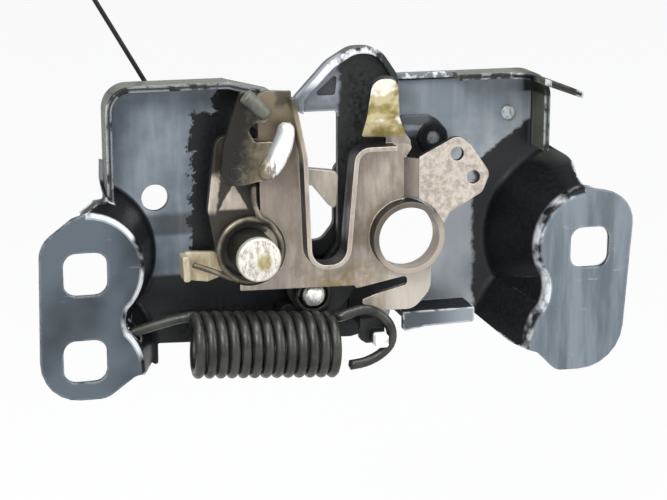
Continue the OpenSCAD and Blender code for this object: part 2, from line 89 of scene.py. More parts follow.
# %% [markdown]
# ## Release cable
# A thin black cable runs up behind the tray. It is held taut by something outside the picture,
# so it is a straight line that ends in an eye just above the view. A poly curve with a round
# bevel is the plainest way to make a cable, and its own line can be measured. The thickness sits
# in the radius of its points: left at 1, they would make the curve's box a metre too large.

# %% Draw the cable
CABLE_R, CABLE_LENGTH, CABLE_PARTS = 0.00075, 0.045, 15
CABLE_START = Vector((-0.048, 0.0052, 0.048))
CABLE_RUN = Vector((-0.5, 0.0, math.sqrt(0.75)))
cable_curve = bpy.data.curves.new("release_cable_line", "CURVE")
cable_curve.dimensions = "3D"
cable_curve.bevel_depth = 1.0
cable_curve.bevel_resolution = 6
cable_curve.use_fill_caps = True
cable_points = cable_curve.splines.new("POLY").points
cable_points.add(CABLE_PARTS)
for k, point in enumerate(cable_points):
    point.co = (*(CABLE_START + CABLE_RUN * (CABLE_LENGTH * k / CABLE_PARTS)), 1.0)
    point.radius = CABLE_R
cable = add_object("cable_line", cable_curve)
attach(cable, "base")
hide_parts("release_cable")
print("cable length in mm:", round(1000 * CABLE_LENGTH))

# %% [markdown]
# ## Floor
# The photograph has a plain white ground. The floor is pale and lies well below the latch, which
# hangs by its ears in use. Rays that come straight from the eye, a mirror or glass see it nearly
# white, and the small share that stays plain paint keeps the latch's shadow. A sheet that bends
# up behind the latch would also do, but with a white sky a flat one is enough.

# %% Make the floor
def straight_rays(tree):
    """One for a ray from the eye, a mirror or glass, nought for the soft light."""
    path = tree.nodes.new("ShaderNodeLightPath")
    share = path.outputs["Is Camera Ray"]
    for kind in ("Is Glossy Ray", "Is Transmission Ray"):
        either = tree.nodes.new("ShaderNodeMath")
        either.operation = "MAXIMUM"
        tree.links.new(share, either.inputs[0])
        tree.links.new(path.outputs[kind], either.inputs[1])
        share = either.outputs[0]
    return share


def mix_into(tree, out, share, first, second):
    """Feeds an output with two shaders, the second one by the given share."""
    mix = tree.nodes.new("ShaderNodeMixShader")
    tree.links.new(share, mix.inputs["Fac"])
    tree.links.new(first.outputs[0], mix.inputs[1])
    tree.links.new(second.outputs[0], mix.inputs[2])
    tree.links.new(mix.outputs[0], out.inputs["Surface"])


FLOOR_Z, FLOOR_GREY, FLOOR_GLOW = -0.17, 0.86, 0.92
corners = [(-3, -2, FLOOR_Z), (3, -2, FLOOR_Z), (3, 4, FLOOR_Z), (-3, 4, FLOOR_Z)]
floor_mesh = bpy.data.meshes.new("floor_sheet")
floor_mesh.from_pydata(corners, [], [(0, 1, 2, 3)])
floor = add_object("floor", floor_mesh)
floor_finish = bpy.data.materials.new("pale_floor")
floor_finish.use_nodes = True
tree = floor_finish.node_tree
tree.nodes.clear()
out = tree.nodes.new("ShaderNodeOutputMaterial")
matt = tree.nodes.new("ShaderNodeBsdfDiffuse")
matt.inputs["Color"].default_value = (FLOOR_GREY, FLOOR_GREY, FLOOR_GREY, 1)
glow = tree.nodes.new("ShaderNodeEmission")
glow.inputs["Color"].default_value = (1, 1, 1, 1)
share = tree.nodes.new("ShaderNodeMath")
share.operation = "MULTIPLY"
share.inputs[1].default_value = FLOOR_GLOW
tree.links.new(straight_rays(tree), share.inputs[0])
mix_into(tree, out, share.outputs[0], matt, glow)
floor_mesh.materials.append(floor_finish)
print("floor at", FLOOR_Z)

# %% [markdown]
# ## Light
# Three broad lamps and a soft sky are enough: dark paint and zinc both want large lights, because
# a small lamp would leave hard spots on them. A picture of a room could light them too, but this
# light is too plain to need one. The sky is dim for the latch, and white only to straight rays.

# %% Light the scene
SKY_TINT, SKY_STRENGTH = (0.80, 0.86, 0.92, 1), 0.42
world = bpy.data.worlds.new("studio")
world.use_nodes = True
bpy.context.scene.world = world
tree = world.node_tree
tree.nodes.clear()
out = tree.nodes.new("ShaderNodeOutputWorld")
soft = tree.nodes.new("ShaderNodeBackground")
soft.inputs["Color"].default_value = SKY_TINT
soft.inputs["Strength"].default_value = SKY_STRENGTH
white = tree.nodes.new("ShaderNodeBackground")
white.inputs["Color"].default_value = (1, 1, 1, 1)
white.inputs["Strength"].default_value = 1.0
mix_into(tree, out, straight_rays(tree), soft, white)


def softbox(name, place, size, power, tint):
    """A broad lamp that looks at the point the camera aims at."""
    lamp = bpy.data.lights.new(name, "AREA")
    lamp.shape = "RECTANGLE"
    lamp.size, lamp.size_y = size
    lamp.energy = power
    lamp.color = tint
    holder = add_object(name, lamp)
    holder.location = place
    holder.rotation_euler = (Vector(place) - AIM).to_track_quat("Z", "Y").to_euler()
    print(name, power, "W")


softbox("window_left", (-0.55, -0.75, 0.62), (0.55, 0.45), 9.0, (1.0, 0.98, 0.95))
softbox("sky_above", (0.10, -0.25, 0.95), (0.80, 0.35), 7.0, (0.93, 0.97, 1.0))
softbox("fill_right", (0.80, -0.55, 0.25), (0.35, 0.60), 3.5, (0.95, 0.98, 1.0))

# %% [markdown]
# ## Places on the drawing
# The latch is drawn in millimetres from the front: x to the right, z up, and h for how far a point
# stands out of the tray. One helper turns that into a place in the frame, which is in metres with
# y pointing away from us. Metres would do everywhere, but places are easier to check in the
# drawing's own unit. The three pivots and the round window are needed in the next steps.

# %% Name the places
def spot(x, z, h):
    """A point of the drawing in millimetres, as a place in the frame."""
    return Vector((x, -h, z)) / 1000


CLAW_PIVOT, HOOK_PIVOT, KICKER_PIVOT = (-23.5, 4.0), (-2.3, -12.8), (39.2, 35.4)
WINDOW = (27.1, 6.0)
print("pivots in mm:", CLAW_PIVOT, HOOK_PIVOT, KICKER_PIVOT)

# %% [markdown]
# ## Finishes
# Every finish is a node tree over object coordinates in metres, so a noise with scale 400 has
# grains of about 2.5 mm. The helpers below keep each tree short. A finish starts with a ground of
# two colours, and each coat lays one more colour over it by a mask. The edge finder compares the
# true normal with the rounded normal of a Bevel node: they differ only near an edge, which is just
# where paint and plating wear through first.

# %% Helpers for finishes
def linear(code):
    """Turns a hex colour, as seen on a screen, into the linear values that Blender works with."""
    parts = [int(code[k:k + 2], 16) / 255 for k in (1, 3, 5)]
    parts = [p / 12.92 if p <= 0.04045 else ((p + 0.055) / 1.055) ** 2.4 for p in parts]
    return (*parts, 1.0)


class Finish:
    """A material with a Principled shader and a few short ways to feed it."""

    def __init__(self, name, metallic=0.0, roughness=0.5):
        self.material = bpy.data.materials.new(name)
        self.material.use_nodes = True
        self.tree = self.material.node_tree
        self.shader = next(n for n in self.tree.nodes if n.type == "BSDF_PRINCIPLED")
        self.shader.inputs["Metallic"].default_value = metallic
        self.shader.inputs["Roughness"].default_value = roughness
        self.place = self.add("ShaderNodeTexCoord").outputs["Object"]
        self.colour = None

    def join(self, value, socket):
        """Links an output to a socket, or sets the socket to a hex colour or another constant."""
        if hasattr(value, "is_output"):
            self.tree.links.new(value, socket)
        else:
            socket.default_value = linear(value) if isinstance(value, str) else value

    def add(self, kind, links=None, **values):
        node = self.tree.nodes.new(kind)
        for key, value in values.items():
            setattr(node, key, value)
        for key, value in (links or {}).items():
            self.join(value, node.inputs[key])
        return node

    def feed(self, socket, value):
        self.tree.links.new(value, self.shader.inputs[socket])

    def blend(self, share, a, b):
        node = self.add("ShaderNodeMix", {"Factor": share}, data_type="RGBA")
        self.join(a, node.inputs[6])
        self.join(b, node.inputs[7])
        return node.outputs[2]

    def ground(self, share, a, b):
        """Starts the colour as a mix of two."""
        self.colour = self.blend(share, a, b)
        self.feed("Base Color", self.colour)

    def coat(self, share, over):
        """Lays one more colour over what is there, by a mask from 0 to 1."""
        self.ground(share, self.colour, over)

    def maths(self, kind, a, b=0.0):
        return self.add("ShaderNodeMath", {0: a, 1: b}, operation=kind).outputs[0]

    def ramp(self, value, low, high, to_low=0.0, to_high=1.0):
        links = {"Value": value, "From Min": low, "From Max": high,
                 "To Min": to_low, "To Max": to_high}
        return self.add("ShaderNodeMapRange", links, interpolation_type="SMOOTHSTEP").outputs[0]

    def outside(self, mask, inside):
        """One outside a mask, and the given share inside it."""
        return self.ramp(mask, 0.0, 1.0, 1.0, inside)

    def all_of(self, first, *others):
        for other in others:
            first = self.maths("MULTIPLY", first, other)
        return first

    def any_of(self, first, *others):
        for other in others:
            first = self.maths("MAXIMUM", first, other)
        return first

    def noise(self, scale, detail=4.0, rough=0.55, stretch=(1, 1, 1), turn=(0, 0, 0)):
        links = {"Vector": self.place, "Scale": stretch, "Rotation": turn}
        turned = self.add("ShaderNodeMapping", links).outputs[0]
        links = {"Vector": turned, "Scale": scale, "Detail": detail, "Roughness": rough}
        return self.add("ShaderNodeTexNoise", links).outputs["Fac"]

    def shift(self, value, noise, size):
        """Moves a value by up to half of size either way, so that a border in it turns ragged."""
        step = self.maths("MULTIPLY", self.maths("SUBTRACT", noise, 0.5), size)
        return self.maths("ADD", value, step)

    def axis(self, letter):
        return self.add("ShaderNodeSeparateXYZ", {0: self.place}).outputs[letter]

    def distance(self, place, start=None):
        """How far a point of the surface, or another vector, is from a place."""
        links = {0: self.place if start is None else start, 1: tuple(place)}
        return self.add("ShaderNodeVectorMath", links, operation="DISTANCE").outputs["Value"]

    def facing(self, letter):
        """How far the surface looks along an axis, from -1 to 1."""
        normal = self.add("ShaderNodeNewGeometry").outputs["Normal"]
        turned = self.add("ShaderNodeVectorTransform", {0: normal}, vector_type="NORMAL",
                          convert_from="WORLD", convert_to="OBJECT")
        return self.add("ShaderNodeSeparateXYZ", {0: turned.outputs[0]}).outputs[letter]

    def edges(self, radius, low=0.02, high=0.16):
        rounded = self.add("ShaderNodeBevel", {"Radius": radius}, samples=4).outputs[0]
        true = self.add("ShaderNodeNewGeometry").outputs["Normal"]
        links = {0: rounded, 1: true}
        same = self.add("ShaderNodeVectorMath", links, operation="DOT_PRODUCT").outputs["Value"]
        return self.ramp(self.maths("SUBTRACT", 1.0, same), low, high)

    def bump(self, height, strength, distance, radius=0.0006):
        base = self.add("ShaderNodeBevel", {"Radius": radius}, samples=4).outputs[0]
        links = {"Height": height, "Strength": strength, "Distance": distance, "Normal": base}
        self.feed("Normal", self.add("ShaderNodeBump", links).outputs[0])


print("finish helpers ready")

# %% [markdown]
# ## Black paint of the tray
# The tray is dipped in black primer. The open parts of its back that face us are a blue grey,
# partly dust and partly a painted reflection of the sky. The steep walls stay black, and the lower
# strip and the middle round the levers stay black as painted shadow. Edges that stand out are
# rubbed bright. We lay these down as masks: where a face looks, how far forward it lies and where
# it is on the drawing, with a noise to make each border ragged. Painting a picture by hand would
# also do, but masks stay sharp at any size. The grey's own mask comes first: the left of the back,
# its top corner and the right, less a painted shade along a crease across the left.

# %% Mask the tray's dust and painted reflection
tray = Finish("tray_black_paint", roughness=0.34)
x, z, height = tray.axis("X"), tray.axis("Z"), tray.maths("MULTIPLY", tray.axis("Y"), -1.0)
jag = tray.noise(150, 5, 0.7)
rough_x, rough_z = tray.shift(x, jag, 0.016), tray.shift(z, jag, 0.012)
left = tray.all_of(tray.ramp(rough_x, -0.0392, -0.0402), tray.ramp(rough_z, -0.0105, -0.0090))
corner = tray.all_of(tray.ramp(rough_x, -0.0305, -0.0315), tray.ramp(rough_z, 0.0455, 0.0465))
slope = tray.shift(tray.maths("SUBTRACT", z, tray.maths("MULTIPLY", x, 0.71)), jag, 0.006)
left_of_dish = tray.ramp(tray.shift(x, jag, 0.006), 0.0560, 0.0540)
above_slope = tray.ramp(slope, -0.0140, -0.0125)
right = tray.all_of(tray.ramp(x, 0.0220, 0.0240), tray.any_of(left_of_dish, above_slope))
# painted shade along a crease across the left of the back, where less grey is laid
crease_shade = tray.all_of(
    tray.ramp(z, 0.0160, 0.0125), tray.ramp(z, 0.0060, 0.0085), tray.ramp(x, 0.0, -0.02))
left = tray.all_of(left, tray.outside(crease_shade, 0.35))
# grey of dust and painted sky reflection; the black it leaves in the middle and the lower strip is
# painted shadow
dust_and_reflection = tray.all_of(tray.ramp(height, 0.0030, 0.0012), tray.any_of(left, corner, right))
print("masked the dust of", tray.material.name)

# %% [markdown]
# Now the paint itself, from the ground up: black, an olive film on the outside of the rim, the
# grey of dust and painted sky reflection, and three small places. A painted shade keeps it dark
# behind the guide plate's slit, the low part of the rim shows bright dashes, and the unseen back
# has a thin cloudy film. A second material on chosen faces could give the grey too, but its
# border would have to follow the faces.

# %% Paint the tray, its dust and its painted reflection
front = tray.maths("MULTIPLY", tray.facing("Y"), -1.0)
flat_faces = tray.ramp(front, 0.82, 0.975)
cloud, grain = tray.noise(34, 4, 0.55), tray.noise(900, 3)
streaks = tray.noise(170, 4, 0.6, stretch=(1, 1, 0.12))
tray.ground(tray.ramp(grain, 0.35, 0.75), "#0f1113", "#16191b")
top_face = tray.ramp(tray.facing("Z"), 0.6, 0.95)
left_face = tray.ramp(tray.facing("X"), -0.6, -0.95)
rim_outside = tray.all_of(tray.any_of(top_face, left_face), tray.ramp(z, 0.024, 0.030), 0.8)
tray.coat(rim_outside, "#5c6055")
left_grey = tray.blend(tray.ramp(cloud, 0.36, 0.62), "#5f6973", "#8a949d")
right_grey = tray.blend(tray.ramp(cloud, 0.36, 0.62), "#7c858d", "#a9aeb3")
grey = tray.blend(tray.ramp(x, -0.01, 0.02), left_grey, right_grey)
grey = tray.blend(tray.ramp(streaks, 0.45, 0.75, 0.0, 0.35), grey, "#b3b9be")
# lays the grey of dust and painted sky reflection on the faces that look at us
tray.coat(tray.all_of(dust_and_reflection, flat_faces, 0.95), grey)
# painted shade: the web behind the guide plate's slit is kept dark
shade_behind_slit = tray.all_of(
    tray.ramp(height, 0.0040, 0.0020), flat_faces, tray.ramp(z, -0.0050, -0.0065),
    tray.ramp(z, -0.0180, -0.0170), tray.ramp(x, 0.0330, 0.0315))
tray.coat(shade_behind_slit, "#191c1e")
low_rim = tray.all_of(
    tray.ramp(height, 0.0022, 0.0026), tray.ramp(height, 0.0040, 0.0034),
    tray.ramp(z, 0.0530, 0.0538), tray.ramp(x, 0.0220, 0.0235), tray.ramp(x, 0.0480, 0.0465))
dashes = tray.ramp(tray.noise(330, 4, 0.7), 0.46, 0.56)
tray.coat(low_rim, tray.blend(dashes, "#6b7177", "#d5d9dc"))
unseen_back = tray.all_of(tray.ramp(front, -0.60, -0.95), tray.ramp(cloud, 0.40, 0.64), 0.7)
tray.coat(unseen_back, "#3c4247")
print("painted the back and the rim")

# %% [markdown]
# The ears stand furthest forward and are the dustiest, and their grey also holds a painted
# reflection of the sky. The left one is darker and clouded, the right one paler and streaked. The
# lip of the lower shelf brightens to the right, and all three carry a few fine scratches. They
# could be pieces with their own paint, but they are pressed from the same sheet, so how far
# forward a face lies picks them out in the same tree.

# %% Dull the ears and the lip
on_ear = tray.all_of(tray.ramp(height, 0.0186, 0.0198), flat_faces)
dark_ear = tray.blend(tray.ramp(tray.noise(26, 3, 0.5), 0.38, 0.60), "#262c31", "#4f5860")
pale_ear = tray.blend(tray.ramp(streaks, 0.32, 0.66), "#545c63", "#757e86")
# the ears' grey: dust with a painted reflection of the sky
tray.coat(on_ear, tray.blend(tray.ramp(x, -0.01, 0.01), dark_ear, pale_ear))
lip = tray.all_of(
    tray.ramp(height, 0.0096, 0.0104), tray.ramp(z, -0.0190, -0.0196),
    tray.ramp(x, 0.024, 0.028), tray.ramp(x, 0.054, 0.0525), flat_faces)
tray.coat(lip, tray.blend(tray.ramp(x, 0.034, 0.050), "#454b51", "#838a90"))
scratches = tray.noise(260, 6, 0.7, stretch=(0.22, 1, 1), turn=(0, 0.5, 0))
scuffs = tray.ramp(scratches, 0.63, 0.74, 0.0, 0.55)
tray.coat(tray.all_of(scuffs, flat_faces, tray.any_of(on_ear, lip)), "#c3c9ce")
print("dulled the ears and the lip")

# %% [markdown]
# Last come the bright edges: a painted highlight along the bend from wall to ear, in patches, and
# wear on every edge that stands forward. The tongue at the upper right is duller, so only its end
# takes part. Chips could be cut into the mesh, but they are no deeper than the paint, so a colour
# is enough.

# %% Wear the tray's edges
# painted highlight where the bend from wall to ear turns to the light
bend_highlight = tray.all_of(
    tray.ramp(height, 0.0185, 0.0200), tray.ramp(front, 0.985, 0.90), tray.ramp(front, 0.30, 0.55))
patchy = tray.ramp(tray.noise(120, 3), 0.36, 0.58)
forward = tray.all_of(tray.ramp(height, 0.0076, 0.0092), tray.ramp(height, 0.0222, 0.0215))
chipped = tray.ramp(tray.noise(240, 4), 0.38, 0.52)
worn = tray.all_of(tray.edges(0.0012, 0.02, 0.12), forward, chipped)
tongue = tray.all_of(tray.ramp(x, 0.0640, 0.0680), tray.ramp(z, 0.0480, 0.0490))
before_end = tray.all_of(tongue, tray.ramp(x, 0.0825, 0.0805))
worn = tray.all_of(worn, tray.outside(before_end, 0.1))
tray.coat(tray.all_of(tongue, tray.ramp(x, 0.0705, 0.0725)), "#33352f")
tray.coat(tray.any_of(worn, tray.all_of(bend_highlight, patchy, 0.85)), "#dfe3e6")
tray.feed("Roughness", tray.ramp(grain, 0.3, 0.75, 0.30, 0.48))
shine = tray.ramp(flat_faces, 0.0, 1.0, 0.10, 0.40)
tray.feed("Specular IOR Level", tray.all_of(shine, tray.outside(tongue, 0.1)))
tray.bump(tray.noise(1500, 3), 0.10, 0.0002)
TRAY_PAINT = tray.material
print("made", TRAY_PAINT.name)

# %% [markdown]
# ## Zinc plate
# The guide plate and the claw are zinc plated and have gone dull and warm. The rolling marks of
# the sheet show as fine upright streaks, and the walls of the slot and the collar are darkened
# with painted shade. The same recipe with other tones gives the claw, the lever and the small tab,
# so it takes them as arguments, and hands back the finish so that one piece can get more coats on
# top.

# %% Plate the zinc pieces
def zinc_plate(name, light, middle, dark, stain, rough=0.42, walls=None):
    """Dull zinc with rolling marks; walls paints the sideways faces, as shade if dark, highlight if
    pale.
    """
    f = Finish(name, metallic=0.35, roughness=rough)
    streaks = f.noise(420, 5, 0.65, stretch=(1, 1, 0.22), turn=(0, 0.35, 0))
    f.ground(f.ramp(streaks, 0.32, 0.70), middle, light)
    f.coat(f.ramp(f.noise(75, 5, 0.6), 0.46, 0.70, 0.0, 0.75), dark)
    f.coat(f.ramp(f.noise(48, 4, 0.5), 0.56, 0.72, 0.0, 0.6), stain)
    front = f.maths("ABSOLUTE", f.facing("Y"))
    f.coat(f.all_of(f.edges(0.0008, 0.04, 0.22), f.ramp(front, 0.80, 0.95), 0.75), "#e6e1d8")
    if walls:
        # painted light and shade on the faces that look sideways
        f.coat(f.ramp(front, 0.62, 0.40), walls)
    f.feed("Roughness", f.ramp(streaks, 0.3, 0.7, rough - 0.10, rough + 0.12))
    f.bump(f.maths("ADD", streaks, f.noise(1300, 2)), 0.22, 0.00025)
    return f


TAB_ZINC = zinc_plate(
    "tab_yellow_zinc", "#e2d8c4", "#bda984", "#8a774f", "#a08a55", walls="#cbbf9f").material
NIPPLE_GREY = zinc_plate(
    "nipple_grey", "#75756b", "#57584e", "#3f4038", "#4c4d3e", rough=0.45).material
print("made", TAB_ZINC.name, "and", NIPPLE_GREY.name)

# %% [markdown]
# The claw is black to the left of its pin. Two places there keep the zinc colour: a strip
# along its left edge, and a wedge between the lever and the spring. They could be painted by hand.
# A few straight borders, made ragged by one noise, give them without a picture.

# %% Plate the claw
claw = zinc_plate("claw_zinc", "#cbc1b4", "#aa9f91", "#8d8274", "#8f836a", walls="#4b463f")
x, z = claw.axis("X"), claw.axis("Z")
jag = claw.noise(260, 5, 0.65)
left_of_pin = claw.ramp(claw.shift(x, jag, 0.006), -0.0175, -0.0190)
slanted = claw.maths("SUBTRACT", x, claw.maths("MULTIPLY", z, 0.12))
strip = claw.all_of(
    claw.ramp(claw.shift(slanted, jag, 0.003), -0.0354, -0.0362), claw.ramp(z, 0.0150, 0.0175),
    claw.ramp(claw.shift(z, jag, 0.006), 0.0295, 0.0265))
beside = claw.maths("ABSOLUTE", claw.maths("ADD", x, 0.0283))
above = claw.maths("MULTIPLY", claw.shift(z, jag, 0.003), 0.55)
wedge = claw.all_of(
    claw.ramp(claw.maths("ADD", beside, above), 0.0142, 0.0136), claw.ramp(z, 0.0165, 0.0175))
# darker to the left of the pin, but for the strip and the wedge
darkened = claw.maths("SUBTRACT", 1.0, claw.any_of(strip, wedge))
claw.coat(claw.all_of(left_of_pin, darkened, 0.94), "#191714")
CLAW_ZINC = claw.material
print("made", CLAW_ZINC.name)

# %% [markdown]
# The guide plate gets the most coats. Its left side is a little darker, with old grease at the
# top, a paler wall and a dark corner. The step up to the raised tab has painted shade at its foot,
# so it runs from dark to light. One even finish would be simpler, but so large a plate would then
# look newer than the rest.

# %% Plate the guide plate
guide = zinc_plate("guide_plate_zinc", "#b4a99d", "#93877b", "#7c7165", "#83764f", walls="#1f1d1b")
x, z, depth = guide.axis("X"), guide.axis("Z"), guide.axis("Y")
front = guide.ramp(guide.facing("Y"), -0.55, -0.80)
left_side = guide.all_of(
    guide.ramp(x, -0.004, -0.016), guide.ramp(z, -0.004, 0.010), front, 0.55)
guide.coat(left_side, "#7b7166")
grease = guide.shift(z, guide.noise(130, 5, 0.65), 0.014)
greasy_top = guide.all_of(
    guide.ramp(grease, 0.024, 0.036), guide.ramp(x, -0.0075, -0.0100), front, 0.85)
guide.coat(greasy_top, "#7d705a")
upper_wall = guide.all_of(
    guide.ramp(z, 0.0300, 0.0345), guide.ramp(guide.facing("X"), -0.5, -0.8),
    guide.ramp(x, 0.0, -0.002))
guide.coat(upper_wall, "#8f836f")
dark_corner = guide.all_of(
    guide.ramp(guide.shift(x, guide.noise(200, 4), 0.004), -0.0165, -0.0145),
    guide.ramp(guide.shift(z, guide.noise(260, 4), 0.005), 0.0480, 0.0505),
    guide.ramp(x, 0.0, -0.004), 0.8)
guide.coat(dark_corner, "#3c3b32")
# painted shade at the foot of the step up to the raised tab
step_shade = guide.all_of(
    guide.ramp(guide.facing("X"), -0.45, -0.62), guide.ramp(x, 0.0240, 0.0255), front)
guide.coat(step_shade, guide.blend(guide.ramp(x, 0.0266, 0.0307), "#4a4640", "#8b8178"))
print("plated the left side and the step")

# %% [markdown]
# Further down, the far side of the window's bore catches light, the lower arm is pale, and rust
# has stained the foot below the slot. A lamp in the bore would brighten it too, but it would also
# light whatever lies behind, so this glow is part of the colour.

# %% Light the bore and stain the foot
WINDOW_RIM_H = 19.0
from_window = guide.distance(spot(*WINDOW, WINDOW_RIM_H))
right_of_window = guide.maths("SUBTRACT", x, WINDOW[0] / 1000)
above_window = guide.maths("SUBTRACT", z, WINDOW[1] / 1000)
from_corner = guide.maths("SUBTRACT", right_of_window, above_window)
away_from_lamp = guide.maths("SUBTRACT", guide.facing("X"), guide.facing("Z"))
lit_bore = guide.all_of(
    guide.ramp(from_window, 0.0150, 0.0140), guide.ramp(away_from_lamp, 0.1, -0.7),
    guide.ramp(from_corner, 0.000, 0.006), 0.85)
guide.coat(lit_bore, "#9d9185")
pale_arm = guide.all_of(
    guide.ramp(z, -0.0030, -0.0075), guide.ramp(x, 0.0150, 0.0250), front, 0.6)
guide.coat(pale_arm, "#d6cec4")
rust = guide.all_of(
    guide.ramp(z, 0.000, -0.006), guide.ramp(x, -0.012, 0.004), guide.ramp(x, 0.024, 0.014),
    guide.ramp(guide.noise(160, 5, 0.65), 0.38, 0.60), front, 0.75)
guide.coat(rust, "#7d6a3c")
print("lit the bore and stained the foot")

# %% [markdown]
# The tongue at the top, which leans out towards us, is golden with old grease, with white patches
# of painted highlight. Two noises give its patches, as one alone would look too even. The raised
# tab is speckled, and the collar round the window darkens towards its upper left with painted
# shade.

# %% Gild the tongue and shade the collar
on_tongue = guide.all_of(guide.ramp(z, 0.0375, 0.0400), guide.ramp(x, 0.0105, 0.0120), front)
gold = guide.blend(guide.ramp(guide.noise(170, 4, 0.6), 0.38, 0.60), "#8f7f42", "#cdbf95")
# white patches of painted highlight on the tongue
gold = guide.blend(guide.ramp(guide.noise(120, 3), 0.50, 0.60), gold, "#f1ece0")
guide.coat(on_tongue, gold)
tab = guide.all_of(guide.ramp(x, 0.0300, 0.0312), guide.ramp(depth, -0.0170, -0.0176), front, 0.8)
guide.coat(tab, guide.blend(guide.ramp(guide.noise(520, 4, 0.7), 0.36, 0.62), "#a3968b", "#cdc3b9"))
collar = guide.all_of(
    guide.ramp(from_window, 0.0124, 0.0120), guide.ramp(depth, -0.0155, -0.0160), front, 0.85)
from_top = guide.maths(
    "SUBTRACT", guide.maths("MULTIPLY", from_corner, 0.6), guide.maths("MULTIPLY", z, 0.4))
# painted shade on the collar towards its upper left
guide.coat(collar, guide.blend(guide.ramp(from_top, 0.0036, -0.0076), "#a5998c", "#4d473f"))
GUIDE_ZINC = guide.material
print("made", GUIDE_ZINC.name)

# %% [markdown]
# ## Greasy release lever
# Old grease and painted shadow turn the lever olive black on the cable's side. Towards the slot it
# is paler, and its rolled edge, which the fingers push, is white with a painted highlight. One ramp
# across the lever gives the dark side, and the height of the bar under the roll picks out its
# painted highlight. The roll that we lay over it later has a finish of its own, with painted
# shade on its left side and grimy at its lower end.

# %% Grease, shade and light the lever
lever = zinc_plate(
    "lever_greasy_zinc", "#8f8472", "#71674f", "#57503e", "#605839", rough=0.34, walls="#25231e")
slanted = lever.maths("SUBTRACT", lever.axis("X"), lever.maths("MULTIPLY", lever.axis("Z"), 0.25))
slanted = lever.shift(slanted, lever.noise(210, 5, 0.65), 0.016)
# olive black on the cable's side: old grease with painted shadow
lever.coat(lever.ramp(slanted, -0.0265, -0.0370), "#1d1b15")
# painted highlight on the edge of the bar under the roll
bright = lever.blend(lever.ramp(lever.noise(300, 4, 0.6), 0.34, 0.62), "#a59f96", "#f4f3f0")
lever.coat(lever.ramp(lever.axis("Y"), -0.0180, -0.0186), bright)
LEVER_ZINC = lever.material

# the roll is white with a painted highlight, grimy at its lower end
roll_highlight = Finish("lever_roll_highlight", metallic=0.3, roughness=0.3)
marks = roll_highlight.noise(430, 5, 0.65, stretch=(1, 1, 0.25), turn=(0, 0.35, 0))
low_end = roll_highlight.ramp(roll_highlight.axis("Z"), 0.0375, 0.0320)
roll_highlight.ground(roll_highlight.all_of(low_end, roll_highlight.ramp(marks, 0.56, 0.46)), "#f6f6f4", "#7d7363")
shaded = roll_highlight.all_of(roll_highlight.ramp(roll_highlight.facing("X"), -0.05, -0.75), 0.8)
roll_highlight.coat(shaded, roll_highlight.blend(low_end, "#80868c", "#6d6350"))
roll_highlight.feed("Roughness", roll_highlight.ramp(marks, 0.3, 0.7, 0.24, 0.42))
roll_highlight.bump(marks, 0.15, 0.0002)
ROLL_HIGHLIGHT = roll_highlight.material
print("made", LEVER_ZINC.name, "and", ROLL_HIGHLIGHT.name)

# %% [markdown]
# ## Black levers
# The hook and the kicker wear a thin black coat. On the hook's beak the coat is grey, partly worn
# and partly a painted reflection, and its outer edge, on which the striker rides up, is white,
# partly rubbed and partly a painted highlight.

# %% Coat the hook
def black_coat(name):
    """A thin black coat with fine grain."""
    f = Finish(name, roughness=0.46)
    grain = f.noise(700, 4)
    f.ground(f.ramp(grain, 0.35, 0.7), "#0d0f0f", "#1b1e1f")
    f.feed("Roughness", f.ramp(grain, 0.3, 0.7, 0.36, 0.56))
    f.bump(grain, 0.12, 0.0002)
    return f


hook = black_coat("hook_black")
x, z, height = hook.axis("X"), hook.axis("Z"), hook.maths("MULTIPLY", hook.axis("Y"), -1.0)
ragged_x = hook.shift(x, hook.noise(300, 4), 0.004)
beak = hook.all_of(hook.ramp(ragged_x, 0.0076, 0.0060), hook.ramp(z, 0.0440, 0.0450))
# grey of the beak: wear with a painted reflection
worn_and_reflecting_grey = hook.blend(hook.ramp(hook.noise(90, 4), 0.36, 0.62), "#5b6067", "#8b9097")
hook.coat(beak, hook.blend(hook.ramp(height, 0.0075, 0.0071), worn_and_reflecting_grey, "#3a3e43"))
along_edge = hook.all_of(hook.ramp(x, 0.0205, 0.0175), hook.ramp(z, 0.0525, 0.0565))
patchy = hook.ramp(hook.noise(260, 4), 0.34, 0.50)
# white along the outer edge: rubbing with a painted highlight
rubbed_and_highlit = hook.all_of(hook.ramp(height, 0.0098, 0.0106), patchy, along_edge)
under = hook.all_of(hook.edges(0.0012, 0.03, 0.2), hook.ramp(z, 0.0478, 0.0470), beak)
hook.coat(hook.any_of(rubbed_and_highlit, under), "#d9dcdf")
HOOK_BLACK = hook.material
print("made", HOOK_BLACK.name)

# %% [markdown]
# The kicker's upper arm is dusty with a pale band of painted highlight, and the tip of its peg is
# bright from the spring's eye. The small stops take the plain coat. Plain black would do for a
# lever so far back, but the band is what shows that its arm stands clear of the web.

# %% Coat the kicker and the stops
kicker = black_coat("kicker_black")
x, z = kicker.axis("X"), kicker.shift(kicker.axis("Z"), kicker.noise(220, 4), 0.003)
dusty_arm = kicker.all_of(
    kicker.ramp(z, 0.0352, 0.0372), kicker.ramp(x, 0.0400, 0.0370), kicker.ramp(x, 0.0180, 0.0200))
# painted highlight band along the kicker's arm
highlight_band = kicker.all_of(
    kicker.ramp(z, 0.0376, 0.0384), kicker.ramp(z, 0.0400, 0.0392),
    kicker.ramp(x, 0.0290, 0.0310), 0.7)
kicker.coat(dusty_arm, kicker.blend(highlight_band, "#50545a", "#9a9da2"))
bright = kicker.blend(kicker.ramp(kicker.noise(400, 4), 0.3, 0.5), "#b9b8b4", "#f5f5f3")
kicker.coat(kicker.ramp(kicker.axis("Y"), -0.0205, -0.0222), bright)
KICKER_BLACK = kicker.material
BLACK_SMALL = black_coat("small_parts_black").material
print("made", KICKER_BLACK.name, "and", BLACK_SMALL.name)

